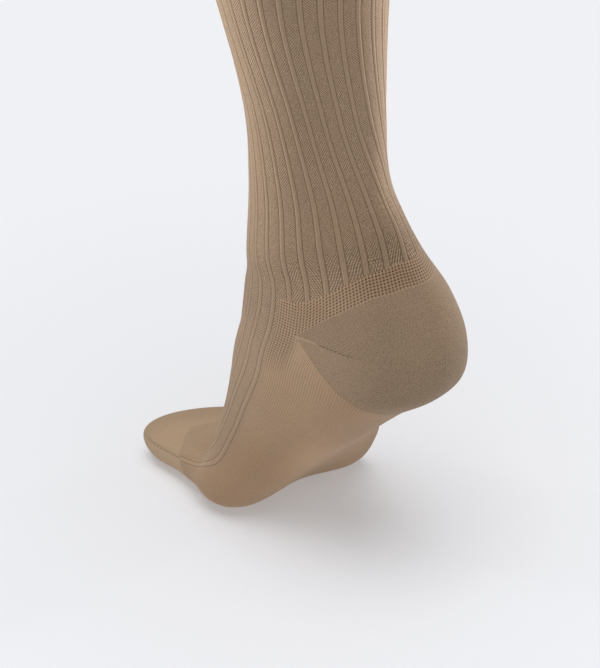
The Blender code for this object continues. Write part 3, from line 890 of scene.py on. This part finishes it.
def body_material():
    """Ribs with slanted stitches between them, a mesh round the heel, and the plain foot."""
    g = Graph("ribbed_knit_cloth", ROUGHNESS, SHEEN)
    below, heel, row = g.value("below_ribs"), g.value("from_heel"), g.value("course_row")
    front, offset = g.from_front(), g.rib_offset()

    # The ribs reach the mesh on the leg and go on over the instep, the outer ones further
    above_mesh = g.ramp(below, 0.3, -0.3)
    in_front = g.ramp(front, 5.45, 5.30)
    ribbed = g.math("MAXIMUM", above_mesh, in_front)
    outer_rib = g.ramp(front, 4.2, 4.8)
    before_toes = g.ramp(g.layered(row, (-3.0, outer_rib)), 17.0, 15.0)
    ribs_shown = g.times(ribbed, g.layered(0.10, (0.90, before_toes)))
    # Painted light on each rib's crest and along its edges, and painted shade in a line beside it
    lit_rib_crest = g.ramp(offset, 0.13, 0.10)
    rim = g.line(offset, 0.10, 0.035)
    shade = g.line(offset, 0.155, 0.045)
    between_ribs = g.ramp(offset, 0.17, 0.21)

    # The stitches between the ribs, fainter on the instep
    patches = g.noise(60, 1)
    stitch_grain = g.noise(1500, 1)
    on_leg = g.ramp(row, 12.0, 9.5)
    stitches = g.times(g.twill(), g.layered(0.36, (0.30, patches)))
    stitches = g.layered(stitches, (0.60, stitch_grain))
    stitches = g.times(stitches, g.layered(0.20, (0.80, on_leg)))
    panel = g.times(ribs_shown, between_ribs)

    # The mesh: light threads round dark holes, which fade out down the foot
    mesh_part = g.minus(1.0, ribbed)
    across, along = g.wales(MESH_WALES), g.courses(heel, MESH_COURSE)
    holes = g.times(g.ramp(across, *HOLE), g.ramp(along, *HOLE))
    threads = g.add(g.ramp(across, *THREAD), g.ramp(along, *THREAD))
    mesh_edge = g.times(g.line(below, 0.6, 0.7), g.ramp(across, *EDGE_STITCH), mesh_part)
    past_corner = g.ramp(front, 6.3, 6.9)
    under_pocket = g.ramp(row, HEEL_POINT_ROW - 0.01, HEEL_POINT_ROW + 0.01)
    under_heel = g.times(past_corner, under_pocket)
    up_the_foot = g.ramp(g.layered(row, (0.12, front)), 12.5, 10.7)
    net = g.times(mesh_part, up_the_foot, g.layered(1.0, (-0.85, under_heel)))

    # The foot: fine lines beside the ribs and along the pocket's lower edge, and a stipple
    plain = g.times(mesh_part, g.minus(1.0, net))
    past_heel, before_ball = g.ramp(row, 9.9, 10.8), g.ramp(row, 15.5, 11.5)
    beside_ribs = g.ramp(front, 9.5, 6.8)
    foot_side = g.times(past_heel, before_ball, beside_ribs, mesh_part)
    wales = g.wales(SIDE_WALES)
    stipple = g.times(wales, g.courses(g.length, SIDE_COURSE))
    lines = g.layered(0.0, (0.7, wales), (0.5, stipple))
    near_pocket = g.ramp(heel, 20.0, 9.0)
    pocket_edge = g.times(under_heel, near_pocket)
    edge_lines = g.layered(g.courses(heel, EDGE_COURSE), (0.3, wales))

    # Painted light on the instep, by the toes, under the ball and round the ankle, and painted
    # shade above the heel
    lit_instep = g.times(g.ramp(row, 9.0, 12.0), in_front)
    lit_instep_by_toes = g.times(g.ramp(row, 14.0, 16.5), in_front)
    on_sole, past_arch = g.ramp(front, 7.5, 10.5), g.ramp(row, 11.5, 13.5)
    lit_sole_under_ball = g.times(on_sole, past_arch, mesh_part)
    at_back, low_on_leg = g.ramp(front, 8.5, 11.5), g.ramp(row, 5.5, 7.0)
    shaded_back_above_heel = g.times(at_back, low_on_leg)
    lit_ankle_band = g.line(row, 5.0, 2.6)
    blotches = g.noise(22)
    grain = g.noise(1300, 1)

    tone = g.layered(
        0.46,
        (0.18, plain),
        # Painted light on the instep and on its end by the toes
        (0.10, lit_instep_by_toes),
        (0.10, lit_instep),
        # Painted light on the sole under the ball
        (0.14, lit_sole_under_ball),
        # Painted shade on the back of the leg above the heel
        (-0.08, shaded_back_above_heel),
        # Painted light in a band round the ankle
        (0.09, lit_ankle_band),
        (-0.05, foot_side),
        (0.07, blotches),
        (0.10, blotches, plain),
        (0.26, grain),
        (1.0, g.minus(stitches, 0.03), panel),
        # Painted light on the ribs' crests and edges, and painted shade beside them
        (0.025, lit_rib_crest, ribs_shown),
        (0.045, rim, ribs_shown),
        (-0.20, shade, ribs_shown),
        (0.09, threads, net),
        (-0.37, holes, net),
        (0.12, mesh_edge),
        (0.15, lines, foot_side),
        (0.22, edge_lines, pocket_edge),
        (0.04, stipple, plain),
    )
    rosy_patches = g.ramp(g.noise(16, 1), -0.25, 0.25)
    rosy_foot = g.layered(0.25, (0.55, mesh_part))
    g.colour(tone, blush=g.times(rosy_foot, g.layered(0.4, (0.8, rosy_patches))))
    height = g.layered(0.0, (1.2, stitches, panel), (-1.0, holes, net), (0.25, lines, foot_side))
    g.bump(height, PANEL_RELIEF)
    return g.material


def heel_material():
    """Close cloth with fine wales that lean above the gore, and small holes along the gore."""
    g = Graph("reinforced_knit_cloth", POCKET_ROUGHNESS, SHEEN)
    top, sole = g.value("from_top"), g.value("from_sole")
    gore, along_gore, share = g.value("from_gore"), g.value("along_gore"), g.value("depth_share")
    front = g.from_front()

    above_gore = g.ramp(gore, 0.4, -0.4)
    below_gore = g.minus(1.0, above_gore)
    off_back, at_point = g.ramp(front, 12.0, 7.0), g.ramp(front, 10.0, 8.0)
    leaning = g.layered(front, (3.4, share, off_back))
    upper = g.wave(g.times(leaning, HEEL_WALES))
    upper = g.times(upper, g.layered(0.25, (0.75, at_point)), above_gore)
    lower = g.times(g.wales(HEEL_WALES), g.courses(sole, HEEL_COURSE), below_gore)

    near_point = g.ramp(along_gore, 60.0, 25.0)
    line_shown = g.ramp(along_gore, 15.0, 11.0)
    gore_line = g.times(g.line(gore, 0, 0.6), line_shown)
    gaps = g.ramp(g.courses(along_gore, HEEL_HOLE_PITCH), *HEEL_GAP)
    holes_start, holes_end = g.ramp(along_gore, 13.0, 17.0), g.ramp(along_gore, 36.0, 30.0)
    holes = g.times(g.line(gore, 0, 0.7), holes_start, holes_end, g.layered(0.3, (0.7, gaps)))
    upper_edge, lower_edge = g.ramp(top, 1.0, 0.2), g.ramp(sole, 1.2, 0.3)
    seam = g.times(upper_edge, g.ramp(g.wales(MESH_WALES), *SEAM_STITCH))
    past_corner = g.ramp(front, 6.8, 7.5)
    sole_edge = g.times(lower_edge, past_corner)
    blotches = g.noise(20)
    grain = g.noise(1900, 0)

    tone = g.layered(
        0.415,
        (0.08, blotches),
        (0.36, grain),
        (0.06, upper),
        (0.04, lower),
        # Lighter below the gore near the heel's point: partly the lower knit's own tone, partly
        # painted light on the heel's underside
        (0.05, below_gore, near_point),
        (0.18, gore_line),
        (-0.20, holes),
        (-0.08, sole_edge),
        (0.14, seam),
    )
    g.colour(tone)
    height = g.layered(0.0, (0.2, upper), (0.2, lower), (0.8, gore_line), (-1.0, holes))
    g.bump(height, KNIT_RELIEF)
    return g.material


def toe_material():
    """Close cloth with a seam over the toes and a gore line on each side."""
    g = Graph("toe_knit_cloth", POCKET_ROUGHNESS, SHEEN)
    gore, row, from_seam = g.value("from_gore"), g.value("course_row"), g.value("from_seam")
    stipple = g.times(g.wales(TOE_WALES), g.courses(g.length, TOE_COURSE))
    on_top = g.ramp(gore, 0.5, -0.5)
    seam = g.times(g.line(from_seam, 0.5, 0.7), on_top)
    gore_shown = g.ramp(row, 19.7, 19.0)
    gore_line = g.times(g.line(gore, 0, 0.9), gore_shown)
    gaps = g.ramp(g.courses(g.length, TOE_HOLE_PITCH), *TOE_GAP)
    holes = g.times(g.line(gore, 0.3, 0.8), gaps, gore_shown)
    below_gore = g.times(g.ramp(gore, 0.4, 1.4), g.ramp(gore, 9.0, 2.0))
    # Painted light on the toes next to the seam
    lit_by_seam = g.ramp(row, 20.2, 18.4)
    blotches = g.noise(24)
    grain = g.noise(1100, 1)

    tone = g.layered(
        0.61,
        # Painted light next to the seam
        (0.11, lit_by_seam),
        (0.09, blotches),
        (0.12, grain),
        (0.05, stipple),
        (-0.10, seam),
        (-0.08, gore_line),
        (-0.16, holes),
        (0.04, below_gore),
    )
    g.colour(tone)
    g.bump(g.layered(0.0, (0.4, stipple), (-2.0, gore_line), (-2.0, seam)), KNIT_RELIEF)
    return g.material


def band_material():
    g = Graph("band_knit_cloth", ROUGHNESS, SHEEN)
    wales, courses = g.wales(BAND_WALES), g.courses(g.length, BAND_COURSE)
    blotches = g.noise(22)
    g.colour(g.layered(0.58, (0.05, blotches), (0.07, wales), (0.05, wales, courses)))
    g.bump(g.layered(wales, (0.4, courses)), KNIT_RELIEF)
    return g.material


def lining_material():
    """The purl side of the cloth, which shows inside the opening."""
    g = Graph("purl_side_cloth", PURL_ROUGHNESS, PURL_SHEEN)
    wales, courses = g.wales(BAND_WALES), g.courses(g.length, PURL_COURSE)
    g.colour(g.layered(0.50, (0.08, courses), (0.06, wales, courses)))
    g.bump(courses, KNIT_RELIEF)
    return g.material


lining = lining_material()
body = make_body([body_material(), lining])
heel = make_heel([heel_material(), lining])
toes = make_toes([toe_material(), lining])
band = make_band([band_material(), lining])

for piece, nodes, slot in (
    (body, ("leg", "ankle", "foot"), "ribbed_knit"),
    (heel, ("heel_pocket",), "reinforced_knit"),
    (toes, ("toe_pocket",), "reinforced_knit"),
    (band, ("top_band",), "band_knit"),
):
    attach(piece, "root")
    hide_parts(*nodes)

FLOOR_SIZE = 6.0
FLOOR_COLOUR = (0.69, 0.695, 0.715, 1)
FLOOR_GLOW_COLOUR = (0.975, 0.98, 1.0, 1)
FLOOR_GLOW = 0.26
FLOOR_ROUGHNESS = 0.9
FLOOR_SPECULAR = 0.1
ROOM_COLOUR = (0.93, 0.96, 1.0, 1)
ROOM_STRENGTH = 0.34

# The camera, as it was found from the photo: angles in degrees, and the lens in millimetres
VIEW_AZIMUTH = 129.52
VIEW_ELEVATION = 32.65
VIEW_DISTANCE = 1.5
AIM = (0.0, 0.0247, -0.3194)
AIM_RIGHT = 0.00478
AIM_DOWN = 0.04413
LENS = 170.1
SENSOR_WIDTH = 36
CLIP_START, CLIP_END = 0.05, 20

# The lamps beside the leg: angles in degrees, and power in watts
Lamp = namedtuple("Lamp", "name azimuth distance power colour")
LAMPS = (
    Lamp("key", VIEW_AZIMUTH - 106, 1.8, 0.56, (1.0, 0.985, 0.96)),
    Lamp("rim", VIEW_AZIMUTH + 123, 1.6, 0.66, (1.0, 0.99, 0.97)),
)
LAMP_AIM = (0.0, 0.02, -0.10)
LAMP_ELEVATION = 2
LAMP_SIZE = 0.3
LAMP_SPREAD = 22
SUN_ELEVATION = 85
SUN_STRENGTH = 1.8
SUN_ANGLE = 50.0


def make_floor(level):
    """A plain floor, with a faint glow that keeps it pale."""
    mesh = bpy.data.meshes.new("floor")
    half = FLOOR_SIZE / 2
    corners = [(-half, -half), (half, -half), (half, half), (-half, half)]
    mesh.from_pydata([(x, y, level) for x, y in corners], [], [(0, 1, 2, 3)])
    look = bpy.data.materials.new("pale_floor")
    look.use_nodes = True
    shader = look.node_tree.nodes["Principled BSDF"]
    shader.inputs["Base Color"].default_value = FLOOR_COLOUR
    shader.inputs["Emission Color"].default_value = FLOOR_GLOW_COLOUR
    shader.inputs["Emission Strength"].default_value = FLOOR_GLOW
    shader.inputs["Roughness"].default_value = FLOOR_ROUGHNESS
    shader.inputs["Specular IOR Level"].default_value = FLOOR_SPECULAR
    mesh.materials.append(look)
    return link("floor", mesh)


def make_room():
    world = bpy.data.worlds.new("room")
    world.use_nodes = True
    background = world.node_tree.nodes["Background"]
    background.inputs["Color"].default_value = ROOM_COLOUR
    background.inputs["Strength"].default_value = ROOM_STRENGTH
    bpy.context.scene.world = world


def direction(azimuth, elevation):
    """The unit way from the stocking to a viewer or a lamp."""
    a, e = math.radians(azimuth), math.radians(elevation)
    return Vector((math.sin(a) * math.cos(e), -math.cos(a) * math.cos(e), math.sin(e)))


def face_from(thing, back):
    """Turns a lamp or the camera to face away from back."""
    thing.rotation_mode = "QUATERNION"
    thing.rotation_quaternion = (-back).to_track_quat("-Z", "Y")


def add_lamp(lamp):
    data = bpy.data.lights.new(lamp.name, "AREA")
    data.shape = "DISK"
    data.size = LAMP_SIZE
    data.energy = lamp.power
    data.spread = math.radians(LAMP_SPREAD)
    data.color = lamp.colour
    back = direction(lamp.azimuth, LAMP_ELEVATION)
    light = link(lamp.name, data)
    light.location = Vector(LAMP_AIM) + back * lamp.distance
    face_from(light, back)


def add_sun():
    data = bpy.data.lights.new("high_light", "SUN")
    data.energy = SUN_STRENGTH
    data.angle = math.radians(SUN_ANGLE)
    face_from(link("high_light", data), direction(VIEW_AZIMUTH, SUN_ELEVATION))


def add_camera():
    back = direction(VIEW_AZIMUTH, VIEW_ELEVATION)
    right = (-back).cross(Vector((0, 0, 1))).normalized()
    up = right.cross(-back)
    aim = Vector(AIM) + AIM_RIGHT * right - AIM_DOWN * up
    data = bpy.data.cameras.new("camera")
    data.sensor_width = SENSOR_WIDTH
    data.lens = LENS
    data.clip_start, data.clip_end = CLIP_START, CLIP_END
    camera = link("camera", data)
    camera.location = aim + back * VIEW_DISTANCE
    face_from(camera, back)
    bpy.context.scene.camera = camera


# The floor lies under the ball of the foot
floor = make_floor(cad_box[0].z)

# Light: a pale room, a high broad light, and a narrow lamp on each side of the leg
make_room()
bpy.context.scene.view_settings.view_transform = "Standard"
for lamp in LAMPS:
    add_lamp(lamp)
add_sun()
add_camera()
